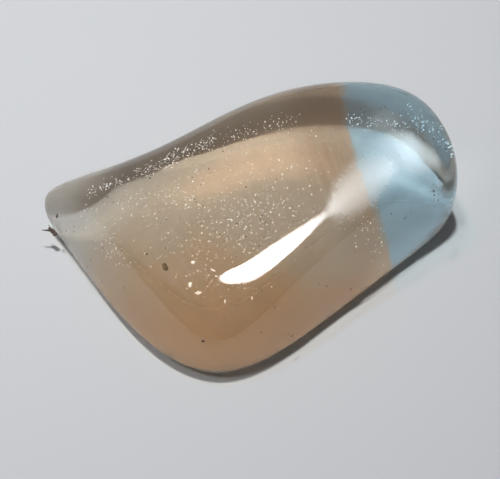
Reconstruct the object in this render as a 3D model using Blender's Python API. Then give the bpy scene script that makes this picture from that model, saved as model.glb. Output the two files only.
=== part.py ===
"""Tumbled topaz pebble: one clear two-coloured stone, worn round.

Sizes are in metres with +Z up, and the driving dimensions are in millimetres.
+X runs along the greatest length, from the narrow pale tip to the broad blue
end. The far side, at +Y, is tall, with a steep undercut wall. The near side
slopes down gently to a low rim. The stone rests on a worn flat foot, and the
origin is under the middle of its box, on the plane of that foot.
"""
from collections import namedtuple

import bmesh
import bpy
from mathutils import Matrix, Vector

MM = 0.001

# How far each level of a side lies in from the rim, as a share of the way to the crest line
Side = namedtuple("Side", "foot_flat foot_edge shoulder")
TIP_SIDE = Side(foot_flat=0.60, foot_edge=0.30, shoulder=0.26)
FAR_SIDE = Side(foot_flat=0.55, foot_edge=0.33, shoulder=0.12)
END_SIDE = Side(foot_flat=0.52, foot_edge=0.28, shoulder=0.22)
NEAR_SIDE = Side(foot_flat=0.36, foot_edge=0.06, shoulder=0.29)

# Control points of the rim in mm: place from above, height of the rim and of the shoulder above it
Rim = namedtuple("Rim", "x y girdle shoulder side")
TIP = Rim(-16.8, 4.4, 2.2, 3.9, TIP_SIDE)
END = Rim(16.4, 3.3, 4.5, 8.2, END_SIDE)
FAR = [
    Rim(-11.7, 4.4, 3.7, 5.9, FAR_SIDE),
    Rim(-6.2, 5.8, 5.5, 8.4, FAR_SIDE),
    Rim(0.8, 10.5, 6.5, 10.0, FAR_SIDE),
    Rim(7.4, 11.1, 6.7, 10.4, FAR_SIDE),
    Rim(12.8, 9.9, 6.3, 10.0, FAR_SIDE),
]
NEAR = [
    Rim(-13.5, 0.9, 1.7, 5.1, NEAR_SIDE),
    Rim(-8.6, -7.5, 1.4, 6.5, NEAR_SIDE),
    Rim(-1.6, -12.5, 1.2, 7.1, NEAR_SIDE),
    Rim(7.1, -4.3, 1.4, 7.3, NEAR_SIDE),
    Rim(13.2, 0.8, 2.0, 6.9, NEAR_SIDE),
]
CREST_HEIGHTS = [6.9, 9.4, 10.8, 11.0, 10.2]  # of the crest line's control points, tip to end

ROUNDING_LEVELS = 3        # of the subdivision that rounds the control cage
CLEAR_TOPAZ = (0.64, 0.50, 0.41, 1.0)
POLISH = 0.06              # roughness of the tumbled skin
TOPAZ_IOR = 1.62

CREST_ROW, NEAR_ROW, FAR_ROW, TIP_ROW, END_ROW = range(5)


def crest_point(station):
    """Middle of the stone, seen from above, at one of its stations."""
    near = NEAR[station]
    far = FAR[station]
    return Vector(((near.x + far.x) / 2, (near.y + far.y) / 2, 0))


def rim_of(row, station):
    """Rim control point of a row of the cage, and the crest point that it faces."""
    if row == TIP_ROW:
        return TIP, crest_point(0)
    if row == END_ROW:
        return END, crest_point(len(FAR) - 1)
    side = FAR if row == FAR_ROW else NEAR
    return side[station], crest_point(station)


def cage_point(row, station, level):
    """Place of a cage vertex at the level foot_flat, foot_edge, girdle or shoulder."""
    if row == CREST_ROW:
        point = crest_point(station)
        if level == "shoulder":
            point.z = CREST_HEIGHTS[station]
        return point
    rim, crest = rim_of(row, station)
    share = 0 if level == "girdle" else getattr(rim.side, level)
    point = Vector((rim.x, rim.y, 0)).lerp(crest, share)
    if level in ("girdle", "shoulder"):
        point.z = getattr(rim, level)
    return point


def foot_patch(bm, row_layer, station_layer):
    """Flat patch of quads for the foot: near, crest and far rows, closed by a tip and an end."""
    stations = len(FAR)
    grid = bmesh.ops.create_grid(bm, x_segments=stations - 1, y_segments=2, size=1)["verts"]
    grid.sort(key=lambda vert: (round(vert.co.y, 3), round(vert.co.x, 3)))
    rows = {}
    for number, row in enumerate((NEAR_ROW, CREST_ROW, FAR_ROW)):
        rows[row] = grid[number * stations:(number + 1) * stations]
        for station, vert in enumerate(rows[row]):
            vert[row_layer] = row
            vert[station_layer] = station
    for row, station in ((TIP_ROW, 0), (END_ROW, stations - 1)):
        vert = bm.verts.new()
        vert[row_layer] = row
        vert[station_layer] = station
        bm.faces.new((rows[NEAR_ROW][station], rows[CREST_ROW][station], rows[FAR_ROW][station], vert))


def place(verts, level, row_layer, station_layer):
    for vert in verts:
        vert.co = cage_point(vert[row_layer], vert[station_layer], level)


def pebble_cage():
    """Closed cage of quads: the foot patch, pulled up through the foot's edge, the girdle and the shoulder."""
    bm = bmesh.new()
    row_layer = bm.verts.layers.int.new("row")
    station_layer = bm.verts.layers.int.new("station")
    foot_patch(bm, row_layer, station_layer)
    place(bm.verts, "foot_flat", row_layer, station_layer)
    top = list(bm.verts) + list(bm.edges) + list(bm.faces)
    for level in ("foot_edge", "girdle", "shoulder"):
        top = bmesh.ops.extrude_face_region(bm, geom=top)["geom"]
        place([item for item in top if isinstance(item, bmesh.types.BMVert)], level, row_layer, station_layer)
    bm.normal_update()
    bmesh.ops.recalc_face_normals(bm, faces=bm.faces)
    return bm


def topaz_material():
    material = bpy.data.materials.new("clear_topaz")
    material.use_nodes = True
    shader = material.node_tree.nodes["Principled BSDF"]
    shader.inputs["Base Color"].default_value = CLEAR_TOPAZ
    shader.inputs["Roughness"].default_value = POLISH
    shader.inputs["Metallic"].default_value = 0.0
    shader.inputs["IOR"].default_value = TOPAZ_IOR
    shader.inputs["Transmission Weight"].default_value = 1.0
    return material


def box_bottom_centre(stone):
    """Middle of the rounded stone's box, seen from above, on its lowest plane."""
    rounded = stone.evaluated_get(bpy.context.evaluated_depsgraph_get()).data
    low = [min(vert.co[axis] for vert in rounded.vertices) for axis in range(3)]
    high = [max(vert.co[axis] for vert in rounded.vertices) for axis in range(3)]
    return Vector(((low[0] + high[0]) / 2, (low[1] + high[1]) / 2, low[2]))


def build_pebble():
    bm = pebble_cage()
    mesh = bpy.data.meshes.new("topaz_pebble")
    bm.to_mesh(mesh)
    bm.free()
    mesh.transform(Matrix.Scale(MM, 4))
    mesh.shade_smooth()
    mesh.materials.append(topaz_material())
    stone = bpy.data.objects.new("topaz_pebble", mesh)
    bpy.context.scene.collection.objects.link(stone)
    rounding = stone.modifiers.new("Worn round", "SUBSURF")
    rounding.levels = ROUNDING_LEVELS
    rounding.render_levels = ROUNDING_LEVELS
    mesh.transform(Matrix.Translation(-box_bottom_centre(stone)))
    return stone


for old in list(bpy.data.objects):
    bpy.data.objects.remove(old)
build_pebble()
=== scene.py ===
import math
import random

import bmesh
import bpy
from mathutils import Euler, Matrix, Vector, noise
from mathutils.bvhtree import BVHTree
from mathutils.kdtree import KDTree


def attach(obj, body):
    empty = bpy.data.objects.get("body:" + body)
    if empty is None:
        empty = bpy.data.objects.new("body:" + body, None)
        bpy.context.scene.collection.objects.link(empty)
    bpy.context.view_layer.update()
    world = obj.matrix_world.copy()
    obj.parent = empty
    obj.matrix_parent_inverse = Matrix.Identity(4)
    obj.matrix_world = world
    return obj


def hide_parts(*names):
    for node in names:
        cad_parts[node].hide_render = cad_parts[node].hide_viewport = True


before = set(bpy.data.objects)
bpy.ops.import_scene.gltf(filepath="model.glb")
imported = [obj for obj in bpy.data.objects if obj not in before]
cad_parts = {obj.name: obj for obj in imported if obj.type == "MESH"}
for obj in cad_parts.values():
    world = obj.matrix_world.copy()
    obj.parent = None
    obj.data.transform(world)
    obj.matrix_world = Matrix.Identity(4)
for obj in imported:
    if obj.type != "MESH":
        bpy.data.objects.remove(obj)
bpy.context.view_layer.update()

# Tumbled topaz pebble, champagne with a blue end, on a pale studio floor.
# Everything is in metres in the CAD frame: +X from the pale tip to the blue end.

mm = 0.001
fullTurn = 6.28       # radians, rounded

photoView = {
    "width": 500,             # pixels across the photograph
    "height": 479,
    "elevation": 57.0,        # degrees above the floor
    "distance": 170 * mm,
    "lens": 170.0,
    "sensor": 36.0,
    "aim": (0.0, -0.84 * mm, 4.05 * mm),
    "clip": (1 * mm, 10),
}


def viewAxes():
    tilt = math.radians(photoView["elevation"])
    right = Vector((1, 0, 0))
    up = Vector((0, math.sin(tilt), math.cos(tilt)))
    back = Vector((0, -math.cos(tilt), math.sin(tilt)))
    return right, up, back


def photoRay(spot):
    # from the camera's eye through a spot of the photograph, in pixels
    right, up, back = viewAxes()
    eye = Vector(photoView["aim"]) + back * photoView["distance"]
    pixel = photoView["sensor"] / photoView["lens"] / photoView["width"]
    across = (spot[0] - photoView["width"] / 2) * pixel
    down = (spot[1] - photoView["height"] / 2) * pixel
    return eye, (right * across - up * down - back).normalized()


def bent(direction, normal, ior):
    # direction of a ray after it enters the stone
    cosIn = -direction.dot(normal)
    ratio = 1 / ior
    cosOut = math.sqrt(1 - ratio * ratio * (1 - cosIn * cosIn))
    return (direction * ratio + normal * (ratio * cosIn - cosOut)).normalized()


# Node helpers

def newMaterial(name):
    material = bpy.data.materials.new(name)
    material.use_nodes = True
    tree = material.node_tree
    return material, tree, tree.nodes["Principled BSDF"]


def plug(tree, value, socket):
    if isinstance(value, bpy.types.NodeSocket):
        tree.links.new(value, socket)
    else:
        socket.default_value = value


def maths(tree, operation, a, b=0.0, c=0.0):
    node = tree.nodes.new("ShaderNodeMath")
    node.operation = operation
    for number, value in enumerate((a, b, c)):
        plug(tree, value, node.inputs[number])
    return node.outputs[0]


def vectorMaths(tree, operation, a, b):
    node = tree.nodes.new("ShaderNodeVectorMath")
    node.operation = operation
    plug(tree, a, node.inputs[0])
    plug(tree, b, node.inputs["Scale" if operation == "SCALE" else 1])
    return node.outputs["Value" if operation == "DOT_PRODUCT" else "Vector"]


def ramp(tree, value, low, high, toLow=0.0, toHigh=1.0):
    # smooth step of a value between two places
    node = tree.nodes.new("ShaderNodeMapRange")
    node.interpolation_type = "SMOOTHSTEP"
    for name, part in (("Value", value), ("From Min", low), ("From Max", high),
                       ("To Min", toLow), ("To Max", toHigh)):
        plug(tree, part, node.inputs[name])
    return node.outputs[0]


def product(tree, *shares):
    total = shares[0]
    for share in shares[1:]:
        total = maths(tree, "MULTIPLY", total, share)
    return total


def hump(tree, value, start, peak, end):
    # rises from start to peak, and falls again to end
    return product(tree, ramp(tree, value, start, peak), ramp(tree, value, end, peak))


def mixed(tree, share, a, b):
    node = tree.nodes.new("ShaderNodeMix")
    node.data_type = "RGBA"
    plug(tree, share, node.inputs["Factor"])
    for name, value in (("A", a), ("B", b)):
        plug(tree, (*value, 1) if isinstance(value, tuple) else value, node.inputs[name])
    return node.outputs["Result"]


def clouds(tree, coords, scale, detail=2.0, roughness=0.5, distortion=0.0):
    node = tree.nodes.new("ShaderNodeTexNoise")
    plug(tree, coords, node.inputs["Vector"])
    for name, value in (("Scale", scale), ("Detail", detail), ("Roughness", roughness),
                        ("Distortion", distortion)):
        plug(tree, value, node.inputs[name])
    return node.outputs["Fac"]


def millimetres(tree):
    # object coordinates in millimetres, whole and split
    coords = tree.nodes.new("ShaderNodeTexCoord")
    where = vectorMaths(tree, "SCALE", coords.outputs["Object"], 1 / mm)
    split = tree.nodes.new("ShaderNodeSeparateXYZ")
    plug(tree, where, split.inputs[0])
    return where, split.outputs["X"], split.outputs["Y"], split.outputs["Z"]


def attribute(tree, name):
    node = tree.nodes.new("ShaderNodeAttribute")
    node.attribute_name = name
    return node.outputs["Fac"]


def mottleGroup():
    # uneven patches of two tones, the lighter ones rougher
    group = bpy.data.node_groups.new("mottle", "ShaderNodeTree")
    sockets = (("Where", "INPUT", "NodeSocketVector"), ("Scale", "INPUT", "NodeSocketFloat"),
               ("Dark", "INPUT", "NodeSocketColor"), ("Light", "INPUT", "NodeSocketColor"),
               ("Smooth", "INPUT", "NodeSocketFloat"), ("Rough", "INPUT", "NodeSocketFloat"),
               ("Colour", "OUTPUT", "NodeSocketColor"), ("Roughness", "OUTPUT", "NodeSocketFloat"))
    for name, side, kind in sockets:
        group.interface.new_socket(name=name, in_out=side, socket_type=kind)
    entry = group.nodes.new("NodeGroupInput")
    leave = group.nodes.new("NodeGroupOutput")
    share = ramp(group, clouds(group, entry.outputs["Where"], entry.outputs["Scale"], 3.0), 0.35, 0.65)
    plug(group, mixed(group, share, entry.outputs["Dark"], entry.outputs["Light"]), leave.inputs["Colour"])
    plug(group, ramp(group, share, 0.0, 1.0, entry.outputs["Smooth"], entry.outputs["Rough"]),
         leave.inputs["Roughness"])
    return group


mottle = mottleGroup()


def mottledMaterial(name, look):
    material, tree, shader = newMaterial(name)
    patches = tree.nodes.new("ShaderNodeGroup")
    patches.node_tree = mottle
    plug(tree, millimetres(tree)[0], patches.inputs["Where"])
    smooth, rough = look["roughness"]
    for socket, value in (("Scale", look["mottle"]), ("Dark", (*look["darkTone"], 1)),
                          ("Light", (*look["lightTone"], 1)), ("Smooth", smooth), ("Rough", rough)):
        patches.inputs[socket].default_value = value
    plug(tree, patches.outputs["Colour"], shader.inputs["Base Color"])
    plug(tree, patches.outputs["Roughness"], shader.inputs["Roughness"])
    # painted glow: the patch colour also emits, standing in for light thrown back
    if look.get("paintedGlow"):
        plug(tree, patches.outputs["Colour"], shader.inputs["Emission Color"])
        shader.inputs["Emission Strength"].default_value = look["paintedGlow"]
    return material


# The stone

stoneLook = {
    "weld": 0.001,                        # mm, points of the CAD skin this close are one
    "joinAngle": 60,                      # degrees, within which its triangles join into quads
    "refine": 2,                          # subdivisions of the CAD skin
    "footEdgeTop": 1.1,                   # mm above the floor, below which the foot's edge is worn softer
    "footEdgeWear": 140,                  # smoothing steps
    "girdleSlope": 0.12,                  # how far a normal may lean up or down on the outline
    "ior": 1.62,
    "clear": 0.925,                       # share that passes clear, the rest is faint milk
    "bodyColour": (0.86, 0.84, 0.82),     # absorption all through
    "bodyDensity": 90.0,
    # colour
    "champagne": (0.90, 0.77, 0.61),
    "rosy": (0.92, 0.60, 0.34),           # warmer cloud near the low rim
    "rosyCloud": 9.0,                     # mm that the clouds move it
    "rosyFrom": (2.8, 9.5),               # mm, clouds less w, over which it comes in
    "smoky": (0.86, 0.83, 0.77),          # greyer cloud at the tip and in the growth bands
    "smokyCloud": -8.0,                   # mm that the clouds move it
    "smokyLean": -0.7,
    "smokyFrom": (-12.0, -19.0),          # mm, x with clouds and leaning w, over which it comes in
    "bandShare": 0.22,                    # strength of the growth bands
    "brown": (0.74, 0.56, 0.41),          # deeper growth zone next to the blue, in the far half
    "brownAlong": (-5.0, -2.2),           # mm past the blue's edge over which it comes in
    "brownAcross": (2.0, 6.5),            # the same for w
    "blue": (0.66, 0.88, 1.0),
    "blueEdge": (9.78, -0.537, 0.0236),   # zone edge in mm: x = a + b w + c w w, w = y + lean z
    "blueLean": 0.357,
    "blueBlur": 0.14,
    "blueWobble": 0.7,                    # mm that the edge wanders
    "mist": (0.90, 1.0),                  # faint milky grain, darkest and lightest
    # patches per mm of the uneven things
    "wobbleScale": 0.9,
    "bandScale": 1.4,
    "cloudScale": 0.22,
    "mistScale": 1.1,
    "marksScale": 1.6,
    # skin
    "polish": 0.035,                      # roughness of the tumbled skin
    "marks": 0.05,                        # more of it in the tumbling marks
    "tipWear": (-9.5, -13.5, 0.20),       # the tip gets duller from and to these x, by this much
    "scuff": (8.0, 0.7, 8.8),             # mm, middle of the scratched patch beyond the highlight
    "scuffAlong": (0.70, 0.69, 0.17),
    "scuffHalf": (3.6, 2.1),              # mm, half its length and width
    "scuffFade": (1.3, 0.0),              # reach, 1 at its edge, where it starts and is whole
    "scuffRoughness": 0.46,
    "scuffBetween": 0.72,                 # share of it that is left between the scratches
    "scratchAlong": (0.60, -0.34, 0.0),   # scratches run this way, long and fine
    "scratchAcross": (3.4, 6.0, 1.4),
    "wallWear": 0.13,                     # roughness of the undercut walls
    "wallInward": (0.1, 0.5),             # mm in from the outline over which it comes in
    "wallRise": (0.2, 0.9),               # mm above the floor over which it comes in
    "footFrost": 0.72,                    # roughness of the matt worn foot
    "footFrostTop": (1.1, 0.4),           # mm above the floor where the frost starts, and is whole
    "frostGlance": (0.44, 0.54),          # facing from which the frost looks polished, as at a low angle
    "tipFrost": (-6.0, -10.5),            # x from and to which the tip's frost shows at any angle
    "waves": (0.15, 0.02, 1.1),           # uneven skin: strength, height in mm, waves per mm
    # light that the stone lets through to the floor
    "topTint": (1.0, 0.98, 0.95),         # in through the top
    "topBlue": (0.96, 1.0, 1.0),
    "crown": (7.7, 4.6, 9.8),             # mm, middle of the round crown that gathers more of it
    "crownAlong": (0.65, 0.76, 0.0),
    "crownHalf": (5.0, 2.2),              # mm, half its length and width
    "crownFade": (1.1, 0.1),              # reach, as for the scratched patch
    "crownTint": (1.6, 1.6, 1.6),
    "rimBlur": 0.2,                       # mm either side of the outline where top and underside mix
    "underTint": (1.12, 1.12, 1.08),      # and out through the underside, gathered on the floor
    "underBlue": (1.05, 1.14, 1.16),
    "shadeBand": (0.02, 0.16, 0.6, 1.2),  # mm in from the outline where the underside bends light away
    "rimShade": (0.02, 0.018, 0.016),
    "shadeSide": (0.485, -0.875, 0.0),    # way that the shadow falls
    "shadeTurns": (0.15, -0.45),          # how far the outline faces that way, where the shade fades and ends
    "shadeTop": (1.6, 2.6),               # mm above the floor, where it fades and ends
    "focusTint": (2.0, 1.7, 1.42),        # where the round far side gathers the light
    "focusBlue": (1.9, 1.9, 1.9),
    "focusFrom": (2.0, 4.0),              # y in mm over which the far side starts
    "windowBand": (1.2, 2.8, 4.6),        # mm in from the outline: start, peak, end
    "windowFrom": (-6.5, -0.5),           # x in mm over which the window brightens and fades
    "windowTo": (6.5, 1.5),
    "crescentBand": (0.9, 1.6, 2.6),      # the same for the bright crescent in the blue end
    "crescentFrom": (6.5, 9.5),
    "crescentRise": (0.35, 0.7),          # mm above the floor over which it starts
}


def ovalReach(tree, where, middle, way, half):
    # 0 in the middle of an oval patch, 1 at its edge
    offset = vectorMaths(tree, "SUBTRACT", where, middle)
    along = vectorMaths(tree, "DOT_PRODUCT", offset, way)
    alongSquare = maths(tree, "MULTIPLY", along, along)
    across = maths(tree, "SUBTRACT", vectorMaths(tree, "DOT_PRODUCT", offset, offset), alongSquare)
    halfLong, halfWide = half
    return maths(tree, "ADD", maths(tree, "MULTIPLY", alongSquare, halfLong ** -2),
                 maths(tree, "MULTIPLY", across, halfWide ** -2))


def stoneColour(tree, where, x, y, z):
    # colour of the growth zones, and the share of blue in it
    look = stoneLook
    # the blue end starts at a curved growth face
    a, b, c = look["blueEdge"]
    w = maths(tree, "MULTIPLY_ADD", z, look["blueLean"], y)
    edge = maths(tree, "MULTIPLY_ADD", w, maths(tree, "MULTIPLY_ADD", w, c, b), a)
    swing = look["blueWobble"]
    wobble = maths(tree, "MULTIPLY_ADD", clouds(tree, where, look["wobbleScale"], 3), swing, -swing / 2)
    past = maths(tree, "ADD", maths(tree, "SUBTRACT", x, edge), wobble)
    blueShare = ramp(tree, past, -look["blueBlur"], look["blueBlur"])
    # champagne varies with faint growth bands along that face and clouds
    bands = clouds(tree, past, look["bandScale"], 3, 0.6)
    cloud = clouds(tree, where, look["cloudScale"], 3, 0.55, 0.4)
    rosyPlace = maths(tree, "MULTIPLY_ADD", cloud, look["rosyCloud"], maths(tree, "MULTIPLY", w, -1.0))
    smokyPlace = maths(tree, "MULTIPLY_ADD", cloud, look["smokyCloud"], x)
    smokyPlace = maths(tree, "MULTIPLY_ADD", w, look["smokyLean"], smokyPlace)
    champagne = mixed(tree, ramp(tree, rosyPlace, *look["rosyFrom"]), look["champagne"], look["rosy"])
    champagne = mixed(tree, ramp(tree, smokyPlace, *look["smokyFrom"]), champagne, look["smoky"])
    champagne = mixed(tree, ramp(tree, bands, 0.45, 0.75, 0.0, look["bandShare"]), champagne, look["smoky"])
    brownShare = product(tree, ramp(tree, past, *look["brownAlong"]), ramp(tree, w, *look["brownAcross"]),
                         ramp(tree, bands, 0.62, 0.38, 0.6, 1.0))
    champagne = mixed(tree, brownShare, champagne, look["brown"])
    mist = ramp(tree, clouds(tree, where, look["mistScale"], 6, 0.75), 0.3, 0.7, *look["mist"])
    return vectorMaths(tree, "SCALE", mixed(tree, blueShare, champagne, look["blue"]), mist), blueShare


def stoneRoughness(tree, where, x, z, inward):
    look = stoneLook
    # polish with fine tumbling marks, duller at the tip
    marks = ramp(tree, clouds(tree, where, look["marksScale"], 4, 0.7), 0.55, 0.8, 0.0, look["marks"])
    skin = maths(tree, "ADD", marks, look["polish"])
    tipFrom, tipTo, tipDull = look["tipWear"]
    skin = maths(tree, "ADD", skin, ramp(tree, x, tipFrom, tipTo, 0.0, tipDull))
    # the scratched patch
    lay = tree.nodes.new("ShaderNodeCombineXYZ")
    plug(tree, vectorMaths(tree, "DOT_PRODUCT", where, look["scratchAlong"]), lay.inputs[0])
    plug(tree, vectorMaths(tree, "DOT_PRODUCT", where, look["scratchAcross"]), lay.inputs[1])
    scratches = clouds(tree, lay.outputs[0], 1.0, 3, 0.7)
    patch = ovalReach(tree, where, look["scuff"], look["scuffAlong"], look["scuffHalf"])
    scuff = product(tree, ramp(tree, patch, *look["scuffFade"], 0.0, look["scuffRoughness"]),
                    ramp(tree, scratches, 0.35, 0.65, look["scuffBetween"], 1.0))
    skin = maths(tree, "ADD", skin, scuff)
    # the undercut walls and the matt foot, which shines where it is seen at a low angle from inside
    wall = product(tree, ramp(tree, inward, *look["wallInward"], 0.0, look["wallWear"]),
                   ramp(tree, z, *look["wallRise"]))
    skin = maths(tree, "MAXIMUM", skin, wall)
    glance = tree.nodes.new("ShaderNodeLayerWeight")
    glance.inputs["Blend"].default_value = 0.5
    upright, grazing = look["frostGlance"]
    shown = maths(tree, "MAXIMUM", ramp(tree, glance.outputs["Facing"], grazing, upright),
                  ramp(tree, x, *look["tipFrost"]))
    frost = product(tree, shown, ramp(tree, z, *look["footFrostTop"], 0.0, look["footFrost"]))
    return maths(tree, "MAXIMUM", skin, frost)


def lightThrough(tree, where, x, y, z, inward, blueShare):
    # colour in which light falls through the stone onto the floor
    look = stoneLook
    window = product(tree, hump(tree, inward, *look["windowBand"]), ramp(tree, x, *look["windowFrom"]),
                     ramp(tree, x, *look["windowTo"]))
    crescent = product(tree, hump(tree, inward, *look["crescentBand"]), ramp(tree, x, *look["crescentFrom"]),
                       ramp(tree, z, *look["crescentRise"]))
    focus = product(tree, maths(tree, "MAXIMUM", window, crescent), ramp(tree, y, *look["focusFrom"]))
    under = mixed(tree, blueShare, look["underTint"], look["underBlue"])
    under = mixed(tree, focus, under, mixed(tree, blueShare, look["focusTint"], look["focusBlue"]))
    # the underside of the rim bends light away, on the side where the shadow falls
    shadeFrom, shadeFull, shadeFades, shadeEnds = look["shadeBand"]
    turned, away = look["shadeTurns"]
    lowest, highest = look["shadeTop"]
    shaded = product(tree, ramp(tree, inward, shadeFrom, shadeFull),
                     ramp(tree, inward, shadeEnds, shadeFades),
                     ramp(tree, attribute(tree, "rimFacing"), away, turned),
                     ramp(tree, z, highest, lowest))
    under = mixed(tree, shaded, under, look["rimShade"])
    top = mixed(tree, blueShare, look["topTint"], look["topBlue"])
    crown = ovalReach(tree, where, look["crown"], look["crownAlong"], look["crownHalf"])
    top = mixed(tree, ramp(tree, crown, *look["crownFade"]), top, look["crownTint"])
    return mixed(tree, ramp(tree, inward, -look["rimBlur"], look["rimBlur"]), top, under)


def stoneMaterial():
    look = stoneLook
    material, tree, shader = newMaterial("clearTopaz")
    where, x, y, z = millimetres(tree)
    # mm in from the outline on the underside, below 0 on the top
    inward = maths(tree, "MULTIPLY", attribute(tree, "rimDistance"), -1.0)
    colour, blueShare = stoneColour(tree, where, x, y, z)
    plug(tree, colour, shader.inputs["Base Color"])
    plug(tree, stoneRoughness(tree, where, x, z, inward), shader.inputs["Roughness"])
    strength, height, scale = look["waves"]
    bump = tree.nodes.new("ShaderNodeBump")
    bump.inputs["Strength"].default_value = strength
    bump.inputs["Distance"].default_value = height * mm
    plug(tree, clouds(tree, where, scale, 3, 0.5), bump.inputs["Height"])
    plug(tree, bump.outputs[0], shader.inputs["Normal"])
    shader.inputs["IOR"].default_value = look["ior"]
    shader.inputs["Transmission Weight"].default_value = look["clear"]
    body = tree.nodes.new("ShaderNodeVolumeAbsorption")
    body.inputs["Color"].default_value = (*look["bodyColour"], 1)
    body.inputs["Density"].default_value = look["bodyDensity"]
    output = tree.nodes["Material Output"]
    plug(tree, body.outputs[0], output.inputs["Volume"])
    # shadow rays pass tinted, so the floor under the stone is lit
    path = tree.nodes.new("ShaderNodeLightPath")
    through = tree.nodes.new("ShaderNodeBsdfTransparent")
    plug(tree, lightThrough(tree, where, x, y, z, inward, blueShare), through.inputs["Color"])
    choice = tree.nodes.new("ShaderNodeMixShader")
    plug(tree, path.outputs["Is Shadow Ray"], choice.inputs[0])
    plug(tree, shader.outputs[0], choice.inputs[1])
    plug(tree, through.outputs[0], choice.inputs[2])
    plug(tree, choice.outputs[0], output.inputs["Surface"])
    return material


def softenFootEdge(mesh):
    # the worn edge between the flat foot and the walls
    bm = bmesh.new()
    bm.from_mesh(mesh)
    low = [vert for vert in bm.verts if vert.co.z < stoneLook["footEdgeTop"] * mm and vert.normal.z < 0]
    for step in range(stoneLook["footEdgeWear"]):
        bmesh.ops.smooth_vert(bm, verts=low, factor=0.5, use_axis_x=True, use_axis_y=True, use_axis_z=True)
    bm.to_mesh(mesh)
    bm.free()


def tumbledStone():
    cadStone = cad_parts["topaz_pebble"]
    bm = bmesh.new()
    bm.from_mesh(cadStone.data)
    bmesh.ops.remove_doubles(bm, verts=bm.verts, dist=stoneLook["weld"] * mm)
    joinAngle = math.radians(stoneLook["joinAngle"])
    bmesh.ops.join_triangles(bm, faces=bm.faces, angle_face_threshold=joinAngle,
                             angle_shape_threshold=joinAngle)
    for face in bm.faces:
        face.smooth = True
    mesh = bpy.data.meshes.new("tumbledTopaz")
    bm.to_mesh(mesh)
    bm.free()
    stone = bpy.data.objects.new("tumbledTopaz", mesh)
    bpy.context.scene.collection.objects.link(stone)
    finer = stone.modifiers.new("Finer skin", "SUBSURF")
    finer.levels = stoneLook["refine"]
    finer.render_levels = stoneLook["refine"]
    fineMesh = bpy.data.meshes.new_from_object(stone.evaluated_get(bpy.context.evaluated_depsgraph_get()))
    stone.modifiers.clear()
    stone.data = fineMesh
    softenFootEdge(fineMesh)
    girdle = KDTree(len(fineMesh.vertices))      # outline seen from above
    for vert in fineMesh.vertices:
        if abs(vert.normal.z) < stoneLook["girdleSlope"]:
            girdle.insert((vert.co.x, vert.co.y, 0), vert.index)
    girdle.balance()
    # mm from the outline, below 0 on the underside, and how far the outline there faces the shadow
    rimDistance = fineMesh.attributes.new("rimDistance", "FLOAT", "POINT")
    rimFacing = fineMesh.attributes.new("rimFacing", "FLOAT", "POINT")
    shadeSide = Vector(stoneLook["shadeSide"])
    for vert in fineMesh.vertices:
        place, nearest, reach = girdle.find((vert.co.x, vert.co.y, 0))
        rimDistance.data[vert.index].value = math.copysign(reach / mm, vert.normal.z)
        rimFacing.data[vert.index].value = fineMesh.vertices[nearest].normal.dot(shadeSide)
    fineMesh.materials.clear()
    fineMesh.materials.append(stoneMaterial())
    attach(stone, "root")
    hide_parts("topaz_pebble")
    return stone


stone = tumbledStone()
print("stone:", len(stone.data.polygons), "faces")

stoneWalls = BVHTree.FromPolygons([vert.co.copy() for vert in stone.data.vertices],
                                  [list(face.vertices) for face in stone.data.polygons])


def skinAt(spot):
    # place and outward normal of the skin at a spot of the photograph
    eye, direction = photoRay(spot)
    place, normal, face, reach = stoneWalls.ray_cast(eye, direction)
    return place, normal


deepestShare = 0.85        # of the way through the stone, the most that a piece lies in


def insideAt(spot, depth):
    # place at a depth in mm under the skin, on the line of sight as the stone bends it
    place, normal = skinAt(spot)
    if place is None:
        return None
    eye, direction = photoRay(spot)
    inward = bent(direction, normal, stoneLook["ior"])
    wall = stoneWalls.ray_cast(place + inward * 0.01 * mm, inward)
    return place + inward * min(depth * mm, wall[3] * deepestShare)


def newPiece(name, bm, material):
    for face in bm.faces:
        face.smooth = True
    bmesh.ops.recalc_face_normals(bm, faces=bm.faces)
    mesh = bpy.data.meshes.new(name)
    bm.to_mesh(mesh)
    bm.free()
    mesh.materials.append(material)
    piece = bpy.data.objects.new(name, mesh)
    bpy.context.scene.collection.objects.link(piece)
    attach(piece, "root")
    print(name + ":", len(mesh.polygons), "faces")


def grain(bm, place, radius, shape, turn, detail=1):
    # one small lump of the given shape, turned by an Euler
    matrix = Matrix.Translation(place) @ turn.to_matrix().to_4x4() @ Matrix.Diagonal((*shape, 1))
    return bmesh.ops.create_icosphere(bm, subdivisions=detail, radius=radius * mm, matrix=matrix)["verts"]


def anyTurn(dice):
    return Euler((dice.uniform(0, fullTurn), dice.uniform(0, fullTurn), dice.uniform(0, fullTurn)))


def driftSpot(dice, start, end, spread):
    # any spot of the photograph near the line from start to end
    along = dice.random()
    return (start[0] + (end[0] - start[0]) * along + dice.gauss(0, spread * 0.5),
            start[1] + (end[1] - start[1]) * along + dice.gauss(0, spread * 0.5))


# Fissure flecks, tiny cracks inside the stone, made bright by a painted glow

fleckLook = {
    "seed": 4,
    "radius": (0.030, 0.068),         # mm, smallest and largest
    "smaller": 3,                     # the higher, the more of them are small
    "depth": (0.25, 2.4),             # mm under the skin
    "shape": (1.0, 0.8, 0.4),
    "mottle": 2.0,                    # patches per mm
    "darkTone": (0.66, 0.71, 0.76),
    "lightTone": (0.86, 0.93, 1.0),
    "roughness": (0.15, 0.4),
    "paintedGlow": 1.0,                     # painted glow, emission in place of the light that a crack throws back
    "veils": [
        # from and to in photo pixels, spread across, count
        ((90, 192), (150, 170), 5, 110),
        ((145, 172), (212, 140), 7, 230),
        ((212, 140), (300, 118), 9, 90),
        ((120, 205), (200, 190), 18, 190),
        ((190, 170), (330, 160), 26, 150),
        ((200, 215), (300, 205), 28, 290),
        ((150, 240), (280, 245), 28, 260),
        ((185, 275), (260, 292), 14, 70),
        ((85, 215), (120, 260), 18, 130),
        ((345, 118), (445, 130), 7, 110),
        ((405, 105), (452, 150), 8, 80),
        ((340, 200), (390, 260), 22, 80),
    ],
}


# shared by the flecks and the chips; its tones are also the colour of their painted glow
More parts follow.
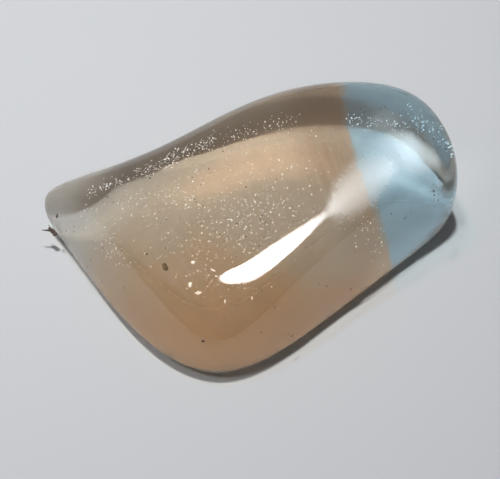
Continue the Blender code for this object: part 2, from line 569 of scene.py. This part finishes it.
fleckGlowMaterial = mottledMaterial("fissureFleck", fleckLook)


def fissureFlecks():
    look = fleckLook
    dice = random.Random(look["seed"])
    bm = bmesh.new()
    low, high = look["radius"]
    for start, end, spread, count in look["veils"]:
        for number in range(count):
            spot = driftSpot(dice, start, end, spread)
            place = insideAt(spot, dice.uniform(*look["depth"]))
            if place is not None:
                radius = low + (high - low) * dice.random() ** look["smaller"]
                grain(bm, place, radius, look["shape"], anyTurn(dice))
    newPiece("fissureFlecks", bm, fleckGlowMaterial)


fissureFlecks()


# Chips, a few larger white breaks just under the skin, with the flecks' painted glow

chipLook = {
    "seed": 9,
    "depth": 0.18,                    # mm under the skin
    "shape": (0.8, 0.4),              # width and height over the radius
    "roughen": (0.7, 9),              # uneven share of the radius, lumps per mm
    "spots": [
        # photo pixel, radius in mm, long side over short side
        ((190, 285), 0.15, 1.2), ((198, 293), 0.14, 1.6), ((193, 262), 0.12, 1.1), ((213, 270), 0.10, 2.0),
        ((225, 302), 0.12, 1.1), ((252, 298), 0.11, 1.3), ((216, 276), 0.08, 1.5), ((187, 288), 0.07, 1.0),
    ],
}


noiseApart = 900        # noise units per metre, which keep the lumps from being alike


def roughen(verts, middle, share, scale):
    # uneven lump: each point moves in or out with a noise
    for vert in verts:
        reach = vert.co - middle
        vert.co = middle + reach * (1 + share * noise.noise(reach * scale / mm + middle * noiseApart))


def whiteChips():
    look = chipLook
    dice = random.Random(look["seed"])
    bm = bmesh.new()
    for spot, radius, length in look["spots"]:
        place = insideAt(spot, look["depth"])
        verts = grain(bm, place, radius, (length, *look["shape"]), anyTurn(dice), 3)
        roughen(verts, place, *look["roughen"])
    newPiece("whiteChips", bm, fleckGlowMaterial)


whiteChips()


# Oval brown inclusion near the skin

ovalLook = {
    "spot": (165, 267),               # photo pixel
    "depth": 0.30,                    # mm under the skin
    "radius": 0.24,
    "shape": (0.80, 1.35, 0.6),
    "turn": 20,                       # degrees
    "roughen": (0.2, 8),
    "mottle": 5.0,
    "darkTone": (0.10, 0.070, 0.035),
    "lightTone": (0.22, 0.15, 0.08),
    "roughness": (0.45, 0.8),
}


def brownOval():
    look = ovalLook
    bm = bmesh.new()
    place = insideAt(look["spot"], look["depth"])
    verts = grain(bm, place, look["radius"], look["shape"], Euler((0, 0, math.radians(look["turn"]))), 3)
    roughen(verts, place, *look["roughen"])
    newPiece("brownOval", bm, mottledMaterial("brownInclusion", look))


brownOval()


# Dark specks, dirt in the pits of the skin

speckLook = {
    "seed": 21,
    "radius": (0.035, 0.085),         # mm, of the scattered ones
    "smaller": 1.5,                   # the higher, the more of them are small
    "flat": 0.35,                     # height over length
    "slim": (0.45, 1),                # width over length
    "sunk": 0.15,                     # share of the radius under the skin
    "mottle": 1.5,
    "darkTone": (0.020, 0.015, 0.011),
    "lightTone": (0.08, 0.055, 0.035),
    "roughness": (0.6, 0.95),
    "placed": [
        # photo pixel, radius in mm
        ((57, 216), 0.28), ((66, 231), 0.10), ((150, 178), 0.10), ((203, 341), 0.13), ((292, 336), 0.12),
        ((351, 289), 0.11), ((87, 267), 0.10), ((166, 248), 0.08), ((242, 283), 0.08), ((262, 290), 0.08),
        ((246, 187), 0.07), ((289, 334), 0.08), ((319, 284), 0.08), ((327, 286), 0.08), ((361, 288), 0.07),
        ((434, 192), 0.10),
    ],
    "drifts": [
        # from and to in photo pixels, spread across, count
        ((430, 188), (446, 214), 6, 26),
        ((395, 205), (412, 222), 8, 10),
        ((400, 110), (450, 160), 8, 22),
        ((350, 110), (400, 105), 8, 16),
        ((110, 200), (230, 170), 26, 30),
        ((150, 240), (330, 230), 34, 40),
        ((150, 330), (330, 320), 22, 20),
        ((60, 200), (110, 280), 12, 18),
    ],
}


def darkSpecks():
    look = speckLook
    dice = random.Random(look["seed"])
    marks = list(look["placed"])
    low, high = look["radius"]
    for start, end, spread, count in look["drifts"]:
        for number in range(count):
            spot = driftSpot(dice, start, end, spread)
            marks.append((spot, low + (high - low) * dice.random() ** look["smaller"]))
    bm = bmesh.new()
    for spot, radius in marks:
        place, normal = skinAt(spot)
        if place is None:
            continue
        lay = normal.to_track_quat("Z", "Y").to_matrix().to_4x4()
        spin = Matrix.Rotation(dice.uniform(0, fullTurn), 4, "Z")
        shape = Matrix.Diagonal((1, dice.uniform(*look["slim"]), look["flat"], 1))
        matrix = Matrix.Translation(place - normal * radius * look["sunk"] * mm) @ lay @ spin @ shape
        bmesh.ops.create_icosphere(bm, subdivisions=1, radius=radius * mm, matrix=matrix)
    newPiece("darkSpecks", bm, mottledMaterial("pitDirt", look))


darkSpecks()


# Crumb of dirt stuck to the low side of the tip

crumbLook = {
    "seed": 3,
    "mottle": 4.0,
    "darkTone": (0.045, 0.024, 0.014),
    "lightTone": (0.12, 0.065, 0.035),
    "roughness": (0.7, 0.95),
    "beside": (58, 232),              # photo pixel of the skin that it is stuck to
    "roughen": (0.5, 7),
    "spikeRoughen": (0.1, 6),
    "spikeSides": 10,
    "spikePoint": 0.25,               # thickness of its far end over that of its root
    "lumps": [
        # photo pixel, radius in mm, shape
        ((52.5, 231), 0.21, (1.0, 0.8, 0.7)), ((55, 234), 0.18, (1.2, 0.8, 0.8)),
        ((50, 229), 0.14, (1.0, 1.0, 0.7)),
    ],
    "spikes": [
        # from and to in photo pixels, radius at the root in mm
        ((52, 230.5), (42, 230), 0.10),
        ((51, 230), (48.5, 224.5), 0.06),
    ],
}


def tipCrumb():
    look = crumbLook
    dice = random.Random(look["seed"])
    back = viewAxes()[2]
    foot = skinAt(look["beside"])[0]
    bm = bmesh.new()

    def beside(spot):
        # place level with the skin at the tip, under a spot of the photograph
        eye, direction = photoRay(spot)
        return eye + direction * ((foot - eye).dot(back) / direction.dot(back))

    for spot, radius, shape in look["lumps"]:
        place = beside(spot)
        verts = grain(bm, place, radius, shape, anyTurn(dice), 3)
        roughen(verts, place, *look["roughen"])
    for start, end, radius in look["spikes"]:
        root = beside(start)
        tip = beside(end)
        middle = (root + tip) / 2
        along = (tip - root).to_track_quat("Z", "Y").to_matrix().to_4x4()
        verts = bmesh.ops.create_cone(bm, cap_ends=True, segments=look["spikeSides"], radius1=radius * mm,
                                      radius2=radius * look["spikePoint"] * mm, depth=(tip - root).length,
                                      matrix=Matrix.Translation(middle) @ along)["verts"]
        roughen(verts, middle, *look["spikeRoughen"])
    newPiece("tipCrumb", bm, mottledMaterial("driedDirt", look))


tipCrumb()


# Studio

studio = {
    "floorColour": (0.62, 0.635, 0.655),
    "floorRoughness": 0.55,
    "floorSize": 0.6,                      # metres
    "floorBelow": 0.02,                    # mm under the foot
    "horizon": (0.02, 0.02, 0.022),        # dark room behind the camera
    "backGlow": (0.28, 0.26, 0.23),        # lighter room beyond the stone
    "ceiling": (0.07, 0.073, 0.078),
    "roomBlend": 0.3,                      # how far to either side of the stone the two mix
    "ceilingFrom": 0.6,
    "lights": [
        # name, azimuth and elevation of both ends in degrees, distance, width, watts, colour,
        # share of the way out at which a lamp that only the polish shows starts to fade
        ("crescentSoftbox", (-10, 47), (56, 29), 0.20, 0.046, 0.55, (1.0, 1.0, 1.0), 0.85),
        ("crescentBelly", (8, 45), (60, 30), 0.20, 0.066, 0.45, (1.0, 1.0, 1.0), 0.75),
        ("shoulderGlow", (116, 66), (60, 6), 0.20, 0.056, 0.40, (0.80, 0.94, 1.0), 0.0),
        ("overheadKey", (-157, 70), (-145, 70), 0.16, 0.016, 0.20, (1.0, 1.0, 1.0), None),
        ("sideFill", (-92, 58), (-68, 58), 0.16, 0.030, 0.050, (1.0, 1.0, 1.0), None),
    ],
}


def heading(azimuth, elevation):
    # direction from the stone, azimuth 0 on the camera's side and 90 to its right
    turn = math.radians(azimuth)
    rise = math.radians(elevation)
    return Vector((math.sin(turn) * math.cos(rise), -math.cos(turn) * math.cos(rise), math.sin(rise)))


def softbox(name, start, end, distance, width, watts, colour, fades):
    # oval lamp that reaches from one direction to the other
    first = heading(*start) * distance
    last = heading(*end) * distance
    lamp = bpy.data.lights.new(name, "AREA")
    lamp.shape = "ELLIPSE"
    lamp.size = (last - first).length
    lamp.size_y = width
    lamp.energy = watts
    lamp.color = colour
    holder = bpy.data.objects.new(name, lamp)
    bpy.context.scene.collection.objects.link(holder)
    middle = (first + last) / 2
    along = (last - first).normalized()
    away = (middle - along * middle.dot(along)).normalized()
    facing = Matrix((along, away.cross(along), away)).transposed().to_4x4()
    holder.matrix_world = Matrix.Translation(Vector(photoView["aim"]) + middle) @ facing
    seen = fades is not None
    holder.visible_glossy = seen
    holder.visible_diffuse = not seen
    holder.visible_transmission = False
    if seen:
        # shows in the outer polish alone, and throws no second image through the stone
        lamp.use_nodes = True
        tree = lamp.node_tree
        path = tree.nodes.new("ShaderNodeLightPath")
        bounced = maths(tree, "ADD", path.outputs["Transmission Depth"], path.outputs["Diffuse Depth"])
        outside = maths(tree, "LESS_THAN", bounced, 0.5)
        spot = tree.nodes.new("ShaderNodeNewGeometry").outputs["Parametric"]
        offset = vectorMaths(tree, "SUBTRACT", spot, (0.5, 0.5, 0.0))
        outward = maths(tree, "POWER", vectorMaths(tree, "DOT_PRODUCT", offset, offset), 0.5)
        glow = maths(tree, "MULTIPLY", outside, ramp(tree, outward, 0.5, 0.5 * fades))
        plug(tree, glow, tree.nodes["Emission"].inputs["Strength"])


def studioRoom():
    world = bpy.data.worlds.new("studioRoom")
    bpy.context.scene.world = world
    world.use_nodes = True
    tree = world.node_tree
    coords = tree.nodes.new("ShaderNodeTexCoord")
    split = tree.nodes.new("ShaderNodeSeparateXYZ")
    plug(tree, coords.outputs["Generated"], split.inputs[0])
    side = ramp(tree, split.outputs["Y"], -studio["roomBlend"], studio["roomBlend"])
    low = mixed(tree, side, studio["horizon"], studio["backGlow"])
    height = ramp(tree, split.outputs["Z"], 0.0, studio["ceilingFrom"])
    plug(tree, mixed(tree, height, low, studio["ceiling"]), tree.nodes["Background"].inputs["Color"])


def studioFloor():
    material, tree, shader = newMaterial("palePaper")
    shader.inputs["Base Color"].default_value = (*studio["floorColour"], 1)
    shader.inputs["Roughness"].default_value = studio["floorRoughness"]
    shader.inputs["Specular IOR Level"].default_value = 0      # no sheen of the lamps
    bm = bmesh.new()
    bmesh.ops.create_grid(bm, x_segments=1, y_segments=1, size=studio["floorSize"] / 2)
    mesh = bpy.data.meshes.new("studioFloor")
    bm.to_mesh(mesh)
    bm.free()
    mesh.transform(Matrix.Translation((0, 0, -studio["floorBelow"] * mm)))
    mesh.materials.append(material)
    floor = bpy.data.objects.new("studioFloor", mesh)
    bpy.context.scene.collection.objects.link(floor)


def photoCamera():
    camera = bpy.data.cameras.new("photoCamera")
    camera.lens = photoView["lens"]
    camera.sensor_width = photoView["sensor"]
    camera.clip_start, camera.clip_end = photoView["clip"]
    holder = bpy.data.objects.new("photoCamera", camera)
    bpy.context.scene.collection.objects.link(holder)
    back = viewAxes()[2]
    facing = (-back).to_track_quat("-Z", "Y").to_matrix().to_4x4()
    holder.matrix_world = Matrix.Translation(Vector(photoView["aim"]) + back * photoView["distance"]) @ facing
    bpy.context.scene.camera = holder


studioRoom()
studioFloor()
for light in studio["lights"]:
    softbox(*light)
photoCamera()
bpy.context.scene.view_settings.view_transform = "Standard"
print("studio: floor, room,", len(studio["lights"]), "lights and camera")
